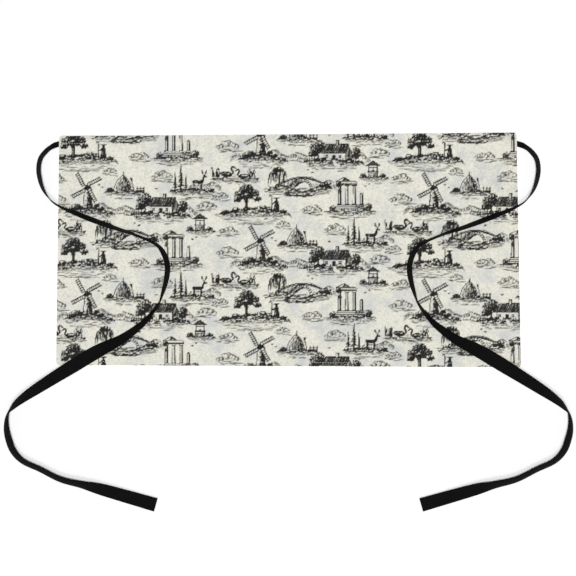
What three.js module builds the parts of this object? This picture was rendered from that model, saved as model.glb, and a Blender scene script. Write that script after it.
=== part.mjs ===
// Half waist apron: a hemmed cloth panel with three front pockets and two long tape ties.
// It lies on its back on a table, front up, with the ties laid in loose curves.
// Millimetres, +Z up. X runs across the apron and Y from the lower edge up to the waist.
// The origin lies under the middle of the apron, on the table.
import * as THREE from "three";

const { clamp, degToRad, lerp, smoothstep } = THREE.MathUtils;

// Apron outline: a plain rectangle on paper, sewn a little wider at its lower edge
const APRON_WIDTH = 600;
const APRON_HEIGHT = 300;
const WAIST_LEFT = { x: -298, y: 148 };
const WAIST_RIGHT = { x: 296.5, y: 152.5 };
const LOWER_LEFT = { x: -302, y: -149.5 };
const LOWER_RIGHT = { x: 302, y: -152.5 };
const CORNER_RADIUS = 4;
const CORNER_STEP = 1.5; // first grid line inside an edge, for the round of the corners

// Cloth and hems
const CLOTH = 1.0; // wall of one layer
const HEM_WIDTH = 12; // folded edge of the panel
const HEM_FOLD = 0.5; // height that the fold adds
const HEM_RAMP = 2; // the fold thins out over this width
const GAP = 0.3; // clearance between two pieces that are sewn or laid together

// Pockets: one front panel, sewn down at its sides, its lower edge and two dividers
const MOUTH_SHARE = 0.664; // height of the mouth, as a share of the apron's height
const POCKETS = 3;
const SLACK = 8; // how far the cloth stands off at the middle of each mouth
const SEAM_BAND = 8; // flat strip along the sewn sides and lower edge
const DIVIDER_BAND = 2; // half the flat strip at each divider
const FILL = 2.5; // a higher power keeps the pocket full further down
const MOUTH_HEM = 15;

// Ties: flat tape, gathered narrow where it is sewn to the panel's back
const TAPE_WIDTH = 18;
const TAPE_THICK = 1;
const TAPE_STEPS = 100;
const ROUTE_DIVISIONS = 1200; // pieces that a route is measured in
const END_HEM = 14; // length of the double fold at the free end
const ON_TABLE = 0.05; // clearance above the table
const LEAVES_TABLE = 70; // length of tie, from its sewn end, that lies under and beside the panel
const CLIMB = 0.22; // steepest slope at which the tape rises onto the apron
const OVERHANG = 12; // the tape keeps the height of an edge this far past it

// Puckers: the waist corners stand up over the sewn ends of the ties
const PUCKER_Y = 138.5;
const PUCKER_RISE = 3.6; // over the sewn end
const PUCKER_LIP = 1.8; // added at the side edge, where the tape begins to turn
const PUCKER_LIP_REACH = 20;
const PUCKER_REACH = 22; // half its length along the side edge
const PUCKER_INNER = 40; // starts to fade this far in from the side edge
const PUCKER_OUTER = 70;

// Route of the left tie from its sewn end; roll in degrees, 0 flat and 90 on edge.
// The width is the tape's own, less where it is gathered, and its thickness grows to match.
const TIE_ROUTE = [
  { x: -266, y: 141, roll: 0, width: 9 },
  { x: -283, y: 140.4, roll: 3, width: 8 },
  { x: -299.5, y: 137.4, roll: 16, width: 7 },
  { x: -308, y: 133.8, roll: 54, width: 9 },
  { x: -315, y: 128.4, roll: 64, width: 13 },
  { x: -322.2, y: 118.6, roll: 70, width: 18 },
  { x: -324.7, y: 104.9, roll: 71, width: 18 },
  { x: -322.7, y: 90.4, roll: 73, width: 18 },
  { x: -317.7, y: 76.6, roll: 80, width: 18 },
  { x: -309, y: 64.7, roll: 91, width: 18 },
  { x: -296.8, y: 56.3, roll: 97, width: 18 },
  { x: -276.5, y: 47.6, roll: 106, width: 18 },
  { x: -255.5, y: 39.4, roll: 110, width: 18 },
  { x: -227.5, y: 29.1, roll: 106, width: 18 },
  { x: -199.5, y: 19.8, roll: 99, width: 18 },
  { x: -172.5, y: 7.6, roll: 101, width: 18 },
  { x: -162.2, y: -4.4, roll: 109, width: 18 },
  { x: -157.4, y: -19, roll: 110, width: 18 },
  { x: -158, y: -35, roll: 109, width: 18 },
  { x: -163.2, y: -55.4, roll: 101, width: 18 },
  { x: -170, y: -71.5, roll: 83, width: 18 },
  { x: -180.3, y: -85.7, roll: 73, width: 18 },
  { x: -193, y: -98.7, roll: 63, width: 18 },
  { x: -217.6, y: -116.3, roll: 48, width: 18 },
  { x: -244.3, y: -129.8, roll: 22, width: 18 },
  { x: -263.4, y: -140.7, roll: 3, width: 18 },
  { x: -295.4, y: -160.4, roll: -24, width: 18 },
  { x: -326.5, y: -180.1, roll: -40, width: 18 },
  { x: -345.3, y: -193, roll: -55, width: 18 },
  { x: -357, y: -203.3, roll: -71, width: 18 },
  { x: -364.9, y: -216, roll: -100, width: 18 },
  { x: -366.4, y: -231, roll: -113, width: 18 },
  { x: -363.4, y: -246.4, roll: -119, width: 18 },
  { x: -357.2, y: -261.7, roll: -118, width: 18 },
  { x: -344.7, y: -274.6, roll: -114, width: 18 },
  { x: -322.7, y: -285, roll: -113, width: 18 },
  { x: -296.2, y: -298, roll: -115, width: 18 },
  { x: -267.7, y: -305.2, roll: -122, width: 18 },
  { x: -238.7, y: -312.5, roll: -148, width: 18 },
  { x: -172.4, y: -331.4, roll: -170, width: 18 },
];

const cottonCanvas = new THREE.MeshStandardMaterial({ color: 0xe2e0d6, roughness: 0.88, metalness: 0 });
const blackTape = new THREE.MeshStandardMaterial({ color: 0x17171a, roughness: 0.7, metalness: 0 });

// A point of the apron from its shares across (left to right) and up (lower edge to waist)
function onApron(across, up) {
  const left = { x: lerp(LOWER_LEFT.x, WAIST_LEFT.x, up), y: lerp(LOWER_LEFT.y, WAIST_LEFT.y, up) };
  const right = { x: lerp(LOWER_RIGHT.x, WAIST_RIGHT.x, up), y: lerp(LOWER_RIGHT.y, WAIST_RIGHT.y, up) };
  return { x: lerp(left.x, right.x, across), y: lerp(left.y, right.y, across) };
}

// How far a point lies in from each edge of the apron, and how high it is as a share
function fromEdges(x, y) {
  const across = (x - LOWER_LEFT.x) / (LOWER_RIGHT.x - LOWER_LEFT.x);
  const lower = lerp(LOWER_LEFT.y, LOWER_RIGHT.y, across);
  const waist = lerp(WAIST_LEFT.y, WAIST_RIGHT.y, across);
  const up = (y - lower) / (waist - lower);
  const left = x - lerp(LOWER_LEFT.x, WAIST_LEFT.x, up);
  const right = lerp(LOWER_RIGHT.x, WAIST_RIGHT.x, up) - x;
  const mouth = lower + MOUTH_SHARE * (waist - lower) - y;
  return { left, right, lower: y - lower, waist: waist - y, mouth };
}

// Height of a folded edge: full on the fold, and down to nothing just inside it
function foldHeight(inward, width) {
  return HEM_FOLD * (1 - smoothstep(inward, width, width + HEM_RAMP));
}

// How far the panel is lifted off the table over the sewn end of the nearer tie
function pucker(x, y) {
  const { left, right } = fromEdges(x, y);
  const inward = Math.max(0, Math.min(left, right));
  const beside = clamp(Math.abs(y - PUCKER_Y) / PUCKER_REACH, 0, 1);
  const lip = PUCKER_LIP * (1 - smoothstep(inward, 0, PUCKER_LIP_REACH));
  const fade = 1 - smoothstep(inward, PUCKER_INNER, PUCKER_OUTER);
  return (PUCKER_RISE + lip) * fade * (1 - beside ** 2) ** 2;
}

function panelTop(x, y) {
  const edge = fromEdges(x, y);
  const inward = Math.min(edge.left, edge.right, edge.lower, edge.waist);
  return pucker(x, y) + CLOTH + foldHeight(inward, HEM_WIDTH);
}

// How far the pocket cloth stands off the panel between its seams
function pocketRoom(x, y) {
  const edge = fromEdges(x, y);
  const width = edge.left + edge.right;
  const pocket = clamp(Math.floor((edge.left / width) * POCKETS), 0, POCKETS - 1);
  const start = (width * pocket) / POCKETS + (pocket === 0 ? SEAM_BAND : DIVIDER_BAND);
  const end = (width * (pocket + 1)) / POCKETS - (pocket === POCKETS - 1 ? SEAM_BAND : DIVIDER_BAND);
  const offCentre = clamp((2 * edge.left - start - end) / (end - start), -1, 1);
  const depth = edge.lower + edge.mouth - SEAM_BAND;
  const fromMouth = clamp(edge.mouth / depth, 0, 1);
  return SLACK * (1 - offCentre ** 2) * (1 - fromMouth ** FILL);
}

function pocketUnder(x, y) {
  return panelTop(x, y) + GAP + pocketRoom(x, y);
}

function pocketTop(x, y) {
  return pocketUnder(x, y) + CLOTH + foldHeight(fromEdges(x, y).mouth, MOUTH_HEM);
}

// The surface that a tie lies on at a point: the pocket, the bare panel or the table
function support(x, y) {
  const edge = fromEdges(x, y);
  if (Math.min(edge.left, edge.right, edge.lower, edge.waist) < -OVERHANG) return ON_TABLE;
  return GAP + (edge.mouth >= -OVERHANG ? pocketTop(x, y) : panelTop(x, y));
}

// Grid lines as shares of a length: marks close to both ends, and even steps between them
function gridLines(length, startMarks, endMarks, steps) {
  const first = startMarks.at(-1);
  const last = length - endMarks.at(-1);
  const between = Array.from({ length: steps - 1 }, (_, i) => lerp(first, last, (i + 1) / steps));
  const back = endMarks.map((mark) => length - mark).reverse();
  return [...startMarks, ...between, ...back].map((line) => line / length);
}

// Rounds a sheet's outer corners, in millimetres from its lower left corner
function roundCorner(x, y, width, height) {
  const middleX = clamp(x, CORNER_RADIUS, width - CORNER_RADIUS);
  const middleY = clamp(y, CORNER_RADIUS, height - CORNER_RADIUS);
  const dx = x - middleX;
  const dy = y - middleY;
  const reach = Math.hypot(dx, dy);
  const pull = reach > 0 ? Math.max(Math.abs(dx), Math.abs(dy)) / reach : 1;
  return { x: middleX + dx * pull, y: middleY + dy * pull };
}

// A cloth wall on the grid of shares across and up, between an under and an upper height
function sheet(name, across, up, under, upper) {
  const geometry = new THREE.BoxGeometry(1, 1, 1, across.length - 1, up.length - 1, 1);
  const position = geometry.attributes.position;
  const width = LOWER_RIGHT.x - LOWER_LEFT.x;
  const height = WAIST_RIGHT.y - LOWER_RIGHT.y;
  for (let i = 0; i < position.count; i += 1) {
    const column = Math.round((position.getX(i) + 0.5) * (across.length - 1));
    const row = Math.round((position.getY(i) + 0.5) * (up.length - 1));
    const flat = roundCorner(across[column] * width, up[row] * height, width, height);
    const { x, y } = onApron(flat.x / width, flat.y / height);
    position.setXYZ(i, x, y, position.getZ(i) > 0 ? upper(x, y) : under(x, y));
  }
  geometry.computeVertexNormals();
  const mesh = new THREE.Mesh(geometry, cottonCanvas);
  mesh.name = name;
  return mesh;
}

// The panel's grid is close along the hems and over the puckers, and wide in the flat middle
function apronPanel() {
  const hem = [HEM_WIDTH, HEM_WIDTH + HEM_RAMP];
  const edgeMarks = [0, CORNER_STEP, CORNER_RADIUS, ...hem];
  const puckerFade = [PUCKER_INNER, (PUCKER_INNER + PUCKER_OUTER) / 2, PUCKER_OUTER];
  const sideMarks = [...edgeMarks, PUCKER_LIP_REACH, ...puckerFade];
  const crest = APRON_HEIGHT / 2 - PUCKER_Y;
  const downPucker = [1 / 3, 2 / 3, 1].map((share) => crest + share * PUCKER_REACH);
  const waistMarks = [0, CORNER_STEP, CORNER_RADIUS, 2 * CORNER_RADIUS, ...hem, ...downPucker];
  const flatSteps = 6;
  const across = gridLines(APRON_WIDTH, sideMarks, sideMarks, flatSteps);
  const up = gridLines(APRON_HEIGHT, edgeMarks, waistMarks, flatSteps);
  return sheet("apron_panel", across, up, pucker, panelTop);
}

// The pocket panel's grid has lines on its hems and dividers, and even steps over each pocket
function pocketPanel() {
  const height = APRON_HEIGHT * MOUTH_SHARE;
  const third = APRON_WIDTH / POCKETS;
  const outerSteps = 10;
  const middleSteps = 12;
  const heightSteps = 10;
  const hemMarks = [0, CORNER_RADIUS, SEAM_BAND, HEM_WIDTH, HEM_WIDTH + HEM_RAMP];
  const mouthMarks = [0, MOUTH_HEM, MOUTH_HEM + HEM_RAMP];
  const dividerMarks = [0, DIVIDER_BAND];
  const outer = gridLines(third, hemMarks, dividerMarks, outerSteps);
  const middle = gridLines(third, dividerMarks, dividerMarks, middleSteps);
  const inPocket = (lines, pocket) => lines.map((line) => (line + pocket) / POCKETS);
  const mirrored = outer.map((line) => 1 - line).reverse();
  const across = [...inPocket(outer, 0), ...inPocket(middle, 1).slice(1), ...inPocket(mirrored, 2).slice(1)];
  const up = gridLines(height, hemMarks, mouthMarks, heightSteps).map((line) => line * MOUTH_SHARE);
  return sheet("pocket_panel", across, up, pocketUnder, pocketTop);
}

// Cross-sections of a tie, placed along its route; side is -1 for left and 1 for right
function tieSections(side) {
  const route = new THREE.CatmullRomCurve3(
    TIE_ROUTE.map(({ x, y }) => new THREE.Vector3(x, y, 0)), false, "catmullrom", 0.5);
  const turn = new THREE.CatmullRomCurve3(
    TIE_ROUTE.map(({ roll, width }) => new THREE.Vector3(roll, width, 0)), false, "catmullrom", 0.5);
  route.arcLengthDivisions = ROUTE_DIVISIONS;
  const length = route.getLength();
  const bare = length - END_HEM;
  const places = Array.from({ length: TAPE_STEPS + 1 }, (_, i) => (bare * i) / TAPE_STEPS);
  places.push(bare + TAPE_THICK, length);
  const sections = places.map((along) => {
    const t = route.getUtoTmapping(along / length);
    const tangent = route.getTangent(t);
    const { x: roll, y: width } = turn.getPoint(t);
    const layers = along > bare ? 2 : 1;
    return {
      along,
      point: route.getPoint(t),
      normal: new THREE.Vector3(-tangent.y, tangent.x, 0).normalize(),
      roll: degToRad(roll),
      width,
      thick: (layers * TAPE_THICK * TAPE_WIDTH) / width,
    };
  });
  const resting = sections.map((section) => restHeight(section, side));
  const eased = sections.map(({ along }) =>
    Math.max(...sections.map((other, j) => resting[j] - CLIMB * Math.abs(along - other.along))));
  sections.forEach((section, i) => {
    const around = eased.slice(Math.max(0, i - 1), i + 2);
    const mean = around.reduce((sum, height) => sum + height, 0) / around.length;
    section.point.z = Math.max(mean, resting[i]);
  });
  return sections;
}

// Lowest height of a section's middle at which all of it clears what it lies on
function restHeight({ along, point, normal, roll, width, thick }, side) {
  const samples = 8;
  let height = 0;
  for (let i = 0; i <= samples; i += 1) {
    const offset = width * (i / samples - 0.5);
    const x = point.x + offset * Math.cos(roll) * normal.x;
    const y = point.y + offset * Math.cos(roll) * normal.y;
    const ground = along < LEAVES_TABLE ? ON_TABLE : support(-side * x, y);
    height = Math.max(height, ground + 0.5 * thick * Math.abs(Math.cos(roll)) - offset * Math.sin(roll));
  }
  return height;
}

// Splits the quads of a box's back face along the same diagonals as its front face
function matchDiagonals(geometry) {
  const back = geometry.groups.find(({ materialIndex }) => materialIndex === 5);
  const index = geometry.index.array;
  for (let i = back.start; i < back.start + back.count; i += 6) {
    const [a, b, d, , c] = index.slice(i, i + 5);
    index.set([a, b, c, a, c, d], i);
  }
}

// A flat tape swept through its sections, each turned about the route by its roll
function tie(name, side) {
  const sections = tieSections(side);
  const geometry = new THREE.BoxGeometry(1, 1, 1, sections.length - 1, 2, 1);
  matchDiagonals(geometry);
  const position = geometry.attributes.position;
  for (let i = 0; i < position.count; i += 1) {
    const section = sections[Math.round((position.getX(i) + 0.5) * (sections.length - 1))];
    const across = -side * position.getY(i) * section.width;
    const through = position.getZ(i) * section.thick;
    const cos = Math.cos(section.roll);
    const sin = Math.sin(section.roll);
    const sideways = across * cos - through * sin;
    const x = section.point.x + sideways * section.normal.x;
    const y = section.point.y + sideways * section.normal.y;
    position.setXYZ(i, -side * x, y, section.point.z + across * sin + through * cos);
  }
  geometry.computeVertexNormals();
  const mesh = new THREE.Mesh(geometry, blackTape);
  mesh.name = name;
  return mesh;
}

const apron = new THREE.Group();
apron.add(apronPanel(), pocketPanel(), tie("tie_left", -1), tie("tie_right", 1));

export default apron;
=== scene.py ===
# %% [markdown]
# # Half waist apron
# A rectangle of printed canvas has one wide pocket cloth sewn over its lower two thirds, and a black tape
# is sewn to each waist corner. It lies on a table, front up. The CAD solids load first as a fixed frame.
# Each soft piece is then modelled again as cloth in the same place, from the same sizes in millimetres.

# %% Load the frame
import math

import bmesh
import bpy
import numpy as np
from mathutils import Matrix, Vector


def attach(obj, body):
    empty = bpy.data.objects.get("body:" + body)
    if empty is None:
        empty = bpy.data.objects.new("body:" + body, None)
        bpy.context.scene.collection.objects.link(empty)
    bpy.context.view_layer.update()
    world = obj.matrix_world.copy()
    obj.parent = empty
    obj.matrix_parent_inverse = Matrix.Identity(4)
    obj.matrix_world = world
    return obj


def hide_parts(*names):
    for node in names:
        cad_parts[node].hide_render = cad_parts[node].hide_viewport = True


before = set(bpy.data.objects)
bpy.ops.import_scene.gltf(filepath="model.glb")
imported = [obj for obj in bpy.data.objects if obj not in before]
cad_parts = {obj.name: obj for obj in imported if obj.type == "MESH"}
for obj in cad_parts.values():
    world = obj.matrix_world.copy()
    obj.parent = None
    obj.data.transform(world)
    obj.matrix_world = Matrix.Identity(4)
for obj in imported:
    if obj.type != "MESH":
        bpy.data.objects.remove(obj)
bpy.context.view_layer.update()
MM = 0.001
print("CAD nodes:", sorted(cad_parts))

# %% [markdown]
# ## The camera
# The picture was taken from straight above, with the waist at the top. One pixel is 1.3 mm on the table, so
# the frame's width in millimetres and the lens give the height of the camera. A long lens keeps the edges
# square.

# %% Camera
PICTURE = 576
PIXEL = 1.30
VIEW_CENTRE = (-0.65, -49.4)
LENS = 500.0
SENSOR = 36.0
FAR = 40.0

camera = bpy.data.objects.new("camera", bpy.data.cameras.new("camera"))
camera.data.lens = LENS
camera.data.sensor_width = SENSOR
camera.data.clip_end = FAR
camera.location = (*(c * MM for c in VIEW_CENTRE), PICTURE * PIXEL * LENS / SENSOR * MM)
bpy.context.collection.objects.link(camera)
bpy.context.scene.camera = camera
print("camera height:", round(camera.location.z, 3), "m")

# %% [markdown]
# ## The lie of the cloth
# Both cloths and both ties need to know how high the cloth lies at any place, so that nothing floats or
# cuts through. A heightfield could be baked to a mesh and ray-cast, but a few formulas are quicker and
# exact. All distances are in millimetres, and every function takes numpy arrays, so a whole mesh is worked
# out at once.

# %% Sizes of the cloth
LOWER_LEFT = (-302.0, -149.5)
LOWER_RIGHT = (302.0, -152.5)
WAIST_LEFT = (-298.0, 148.0)
WAIST_RIGHT = (296.5, 152.5)
CORNER_RADIUS = 4.0
CLOTH = 1.0
GAP = 0.3
HEM_WIDTH = 12.0
HEM_FOLD = 0.5
HEM_RAMP = 2.0
HEM_SEAM = HEM_WIDTH - 2
MOUTH_SHARE = 0.664
MOUTH_HEM = 15.0
MOUTH_SEAM = MOUTH_HEM - 3
POCKETS = 3
SLACK = 3.0
LIP = 0.4
LIP_REACH = 35.0
FILL = 2.5
SEAM_BAND = 8.0
DIVIDER_BAND = 2.0


def smoothstep(x, start, end):
    t = np.clip((x - start) / (end - start), 0, 1)
    return t * t * (3 - 2 * t)


def lerp(a, b, t):
    return a + (b - a) * t


def from_edges(x, y):
    """How far a place is inside each edge: left, right, lower and waist, and below the pocket's mouth."""
    across = (x - LOWER_LEFT[0]) / (LOWER_RIGHT[0] - LOWER_LEFT[0])
    lower = lerp(LOWER_LEFT[1], LOWER_RIGHT[1], across)
    waist = lerp(WAIST_LEFT[1], WAIST_RIGHT[1], across)
    up = (y - lower) / (waist - lower)
    left = x - lerp(LOWER_LEFT[0], WAIST_LEFT[0], up)
    right = lerp(LOWER_RIGHT[0], WAIST_RIGHT[0], up) - x
    return left, right, y - lower, waist - y, lower + MOUTH_SHARE * (waist - lower) - y


# %% [markdown]
# ## Heights of the two cloths
# The panel lies flat but for the waist corners, where the end of a tape is caught under it and lifts it,
# and its hems are one fold thicker. The pocket cloth is a little wider than its place, so each of its three
# compartments gapes at the mouth and lies down towards the seams. A hem's thread draws it up, which leaves
# puckers as low as the thickness of a hair but enough to catch the light.

# %% Heights
TAPE_Y = 138.5
TAPE_RISE = 3.6
TAPE_LIP = 1.8
TAPE_LIP_REACH = 20.0
TAPE_REACH = 22.0
TAPE_INNER = 40.0
TAPE_OUTER = 70.0
PUCKER = 0.16
PUCKER_PITCH = 17.0
PUCKER_REACH = 7.0
PUCKER_DRIFT = 41.0
PUCKER_SWAY = 1.7


def fold_height(inward, width):
    return HEM_FOLD * (1 - smoothstep(inward, width, width + HEM_RAMP))


def drawn_up(along, inward, seam):
    """The puckers that a row of stitches leaves beside itself."""
    beat = np.sin(2 * math.pi * along / PUCKER_PITCH + PUCKER_SWAY * np.sin(along / PUCKER_DRIFT))
    return PUCKER * (0.5 + 0.5 * beat) * np.exp(-(((inward - seam) / PUCKER_REACH) ** 2))


def lifted(x, y):
    """Height of the panel's underside: the tapes' ends lift the waist corners."""
    left, right, *_ = from_edges(x, y)
    inward = np.maximum(0, np.minimum(left, right))
    high = TAPE_RISE + TAPE_LIP * (1 - smoothstep(inward, 0, TAPE_LIP_REACH))
    span = 1 - np.minimum(1, np.abs(y - TAPE_Y) / TAPE_REACH) ** 2
    return high * (1 - smoothstep(inward, TAPE_INNER, TAPE_OUTER)) * span**2


def panel_top(x, y):
    left, right, lower, waist, _ = from_edges(x, y)
    side = np.minimum(left, right)
    hem = fold_height(np.minimum(side, np.minimum(lower, waist)), HEM_WIDTH)
    hem = hem + drawn_up(x, waist, HEM_SEAM) + drawn_up(y, side, HEM_SEAM)
    return lifted(x, y) + CLOTH + hem


def pocket_room(x, y):
    """The slack of the pocket cloth over the panel."""
    left, right, lower, _, mouth = from_edges(x, y)
    share = left / (left + right) * POCKETS
    number = np.clip(np.floor(share), 0, POCKETS - 1)
    width = (left + right) / POCKETS
    start = np.where(number == 0, SEAM_BAND, DIVIDER_BAND)
    end = width - np.where(number == POCKETS - 1, SEAM_BAND, DIVIDER_BAND)
    middle = (start + end) / 2
    off_centre = np.clip(((share - number) * width - middle) / (end - middle), -1, 1)
    from_mouth = np.clip(mouth / (lower + mouth - SEAM_BAND), 0, 1)
    lip = lerp(LIP, 1, smoothstep(mouth, 0, LIP_REACH))
    return SLACK * lip * (1 - off_centre**2) * (1 - from_mouth**FILL)


def pocket_under(x, y):
    return panel_top(x, y) + GAP + pocket_room(x, y)


def pocket_top(x, y):
    mouth = from_edges(x, y)[4]
    return pocket_under(x, y) + CLOTH + fold_height(mouth, MOUTH_HEM) + drawn_up(x, mouth, MOUTH_SEAM)


print("highest pocket:", round(float(pocket_top(np.array(0.0), np.array(49.0))), 2), "mm")

# %% [markdown]
# ## The ties
# Each tie is a limp woven tape, 18 mm wide. It is gathered narrow under the waist corner, opens out, and
# then runs in one loose S over the apron and onto the table, standing on its edge in the bends as tape
# does. A curve with a flat bevel would twist where it likes. A grid is safer: the route below gives the
# place of the tape's middle line, its roll and its width, and each row of the grid is laid across that
# line.

# %% Route of a tie
ON_TABLE = 0.05
OVERHANG = 12.0
# x, y and roll in degrees: the left tie, from its sewn end to its free end.
TIE_ROUTE = [
    (-266, 141, 0), (-283, 140.4, 3), (-299.5, 137.4, 16), (-308, 133.8, 54), (-315, 128.4, 64),
    (-322.2, 118.6, 70), (-324.7, 104.9, 71), (-322.7, 90.4, 73), (-317.7, 76.6, 80),
    (-309, 64.7, 91), (-296.8, 56.3, 97), (-276.5, 47.6, 106), (-255.5, 39.4, 110),
    (-227.5, 29.1, 106), (-199.5, 19.8, 99), (-172.5, 7.6, 101), (-162.2, -4.4, 109),
    (-157.4, -19, 110), (-158, -35, 109), (-163.2, -55.4, 101), (-170, -71.5, 83),
    (-180.3, -85.7, 73), (-193, -98.7, 63), (-217.6, -116.3, 48), (-244.3, -129.8, 22),
    (-263.4, -140.7, 3), (-295.4, -160.4, -24), (-326.5, -180.1, -40), (-345.3, -193, -55),
    (-357, -203.3, -71), (-364.9, -216, -100), (-366.4, -231, -113), (-363.4, -246.4, -119),
    (-357.2, -261.7, -118), (-344.7, -274.6, -114), (-322.7, -285, -113), (-296.2, -298, -115),
    (-267.7, -305.2, -122), (-238.7, -312.5, -148), (-172.4, -331.4, -170),
]
# Widths at its sewn end, where it is gathered.
GATHERED = (9, 8, 7, 9, 13)


def curve(points, closed=False, steps=6):
    """A smooth line through given points."""
    p = np.array(points, float)
    if closed:
        p = np.vstack([p[-1], p, p[0], p[1]])
    else:
        p = np.vstack([2 * p[0] - p[1], p, 2 * p[-1] - p[-2]])
    t = np.linspace(0, 1, steps, endpoint=False)[:, None]
    out = []
    for a, b, c, d in zip(p, p[1:], p[2:], p[3:]):
        out.append(b + 0.5 * t * (c - a + t * (2 * a - 5 * b + 4 * c - d + t * (3 * (b - c) + d - a))))
    out = np.vstack(out)
    return out if closed else np.vstack([out, p[-2]])


def support(x, y):
    """What a tape lies on: the pocket, the panel above it, or the table beyond the edges."""
    *edges, mouth = from_edges(x, y)
    edge = np.min(edges, axis=0)
    cloth = GAP + np.where(mouth >= -OVERHANG, pocket_top(x, y), panel_top(x, y))
    return np.where(edge < -OVERHANG, ON_TABLE, cloth)


# %% [markdown]
# ## Laying the tape
# The rows are spaced evenly along the route. A row that stands on edge has to rest on its lower edge, so
# its middle is lifted until no point of it is below the cloth, and between two such places the tape climbs
# gently. In the last bend, where the tape leans back, and on the pocket, where it turns over, it is also a
# little cupped towards the outside of the bend.

# %% Rows of the tape
TAPE_WIDTH = 18.0
TAPE_THICK = 1.0
TAPE_CUP = 1.6
TURN_CUP = 1.2
TURN_AT = 354.0
TURN_REACH = 25.0
EASE_ROWS = 6
END_HEM = 14.0
END_FOLDS = 2.0
LEAVES_TABLE = 70.0
CLIMB = 0.22
TAPE_ROWS = 560
ROUTE_STEPS = 40
ACROSS_SAMPLES = np.linspace(-0.5, 0.5, 9)


def nearby(values):
    """For each row, the values of the rows around it."""
    padded = np.pad(values, EASE_ROWS, mode="edge")
    return np.lib.stride_tricks.sliding_window_view(padded, 2 * EASE_ROWS + 1)


def cupped(cup, q):
    """How far the face stands out at q, from -1 at one edge to 1 at the other."""
    return cup * (1 - q**2)


def tie_line(mirror):
    """Middle points, across and face directions, width, thickness, cup and distance along, one row each."""
    widths = [*GATHERED, *[TAPE_WIDTH] * (len(TIE_ROUTE) - len(GATHERED))]
    fine = curve(np.column_stack([TIE_ROUTE, widths]), steps=ROUTE_STEPS)
    run = np.concatenate([[0], np.cumsum(np.hypot(*np.diff(fine[:, :2], axis=0).T))])
    along = np.linspace(0, run[-1], TAPE_ROWS + 1)
    x, y, roll, width = (np.interp(along, run, column) for column in fine.T)
    roll = np.radians(roll)
    tx, ty = np.gradient(x, along), np.gradient(y, along)
    size = np.hypot(tx, ty)
    nx, ny = -ty / size, tx / size
    thick = TAPE_THICK * np.where(along > along[-1] - END_HEM, END_FOLDS, TAPE_WIDTH / width)
    cup = TAPE_CUP * np.minimum(np.sin(roll), 0) ** 3
    cup = cup - TURN_CUP * np.exp(-(((along - TURN_AT) / TURN_REACH) ** 2))
    rest = np.full(len(along), -np.inf)
    for share in ACROSS_SAMPLES:
        offset, bulge = share * width, cupped(cup, 2 * share)
        sideways = offset * np.cos(roll) - bulge * np.sin(roll)
        upward = offset * np.sin(roll) + bulge * np.cos(roll)
        px, py = x + sideways * nx, y + sideways * ny
        ground = np.where(along < LEAVES_TABLE, ON_TABLE, support(-px if mirror else px, py))
        rest = np.maximum(rest, ground + 0.5 * thick * np.abs(np.cos(roll)) - upward)
    climb = rest[None, :] - CLIMB * np.abs(along[:, None] - along[None, :])
    eased = nearby(climb.max(1)).mean(1)
    short = nearby(np.maximum(rest - eased, 0)).max(1)
    middle = np.column_stack([x, y, eased + nearby(short).mean(1)])
    across = np.column_stack([np.cos(roll) * nx, np.cos(roll) * ny, np.sin(roll)])
    face = np.column_stack([-np.sin(roll) * nx, -np.sin(roll) * ny, np.cos(roll)])
    return middle, across, face, width, thick, cup, along


# %% From a bmesh to a piece
CREASE = 50


def to_object(bm, name):
    mesh = bpy.data.meshes.new(name)
    bm.to_mesh(mesh)
    bm.free()
    made = bpy.data.objects.new(name, mesh)
    bpy.context.collection.objects.link(made)
    return made


def finish_mesh(bm, name):
    """Turns a bmesh into a smooth piece at the origin that rides on the apron."""
    piece = to_object(bm, name)
    piece.data.shade_smooth()
    piece.data.set_sharp_from_angle(angle=math.radians(CREASE))
    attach(piece, "root")
    return piece


def get_coordinates(mesh):
    flat = np.empty(3 * len(mesh.vertices))
    mesh.vertices.foreach_get("co", flat)
    return flat.reshape(-1, 3)


def set_coordinates(mesh, points):
    mesh.vertices.foreach_set("co", (np.asarray(points) * MM).ravel())
    mesh.update()


def corner_points(mesh):
    """The number of the point at each corner of each face."""
    index = np.empty(len(mesh.loops), int)
    mesh.loops.foreach_get("vertex_index", index)
    return index


# %% Make the ties
TAPE_COLUMNS = 14
TAPE_EDGE = 0.25
EDGE_POWER = 8


def make_tie(name, node, mirror):
    bm = bmesh.new()
    bmesh.ops.create_grid(bm, x_segments=TAPE_ROWS, y_segments=TAPE_COLUMNS, size=0.5)
    grown = bmesh.ops.extrude_face_region(bm, geom=list(bm.faces), use_keep_orig=True)
    raised = [v for v in grown["geom"] if isinstance(v, bmesh.types.BMVert)]
    bmesh.ops.translate(bm, vec=(0, 0, 1), verts=raised)
    bmesh.ops.recalc_face_normals(bm, faces=list(bm.faces))
    if mirror:
        bmesh.ops.reverse_faces(bm, faces=list(bm.faces))
    piece = finish_mesh(bm, name)

    middle, across, face, width, thick, cup, along = tie_line(mirror)
    flip = (-1 if mirror else 1, 1, 1)
    unit = get_coordinates(piece.data)
    row = np.rint((unit[:, 0] + 0.5) * TAPE_ROWS).astype(int)
    q = 2 * unit[:, 1]
    side = 2 * unit[:, 2] - 1
    out = 0.5 * side * thick[row] * (1 - TAPE_EDGE * np.abs(q) ** EDGE_POWER) + cupped(cup[row], q)
    points = middle[row] + (0.5 * width[row] * q)[:, None] * across[row] + out[:, None] * face[row]
    set_coordinates(piece.data, points * flip)

    ribs = piece.data.uv_layers.new(name="along_across")
    flat = np.column_stack([along[row], 0.5 * TAPE_WIDTH * (q + 1)])[corner_points(piece.data)] * MM
    ribs.data.foreach_set("uv", flat.ravel())
    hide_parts(node)
    print(name, "is", round(along[-1], 1), "mm long")
    return piece


ties = [make_tie("tie_left_tape", "tie_left", False), make_tie("tie_right_tape", "tie_right", True)]

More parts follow.
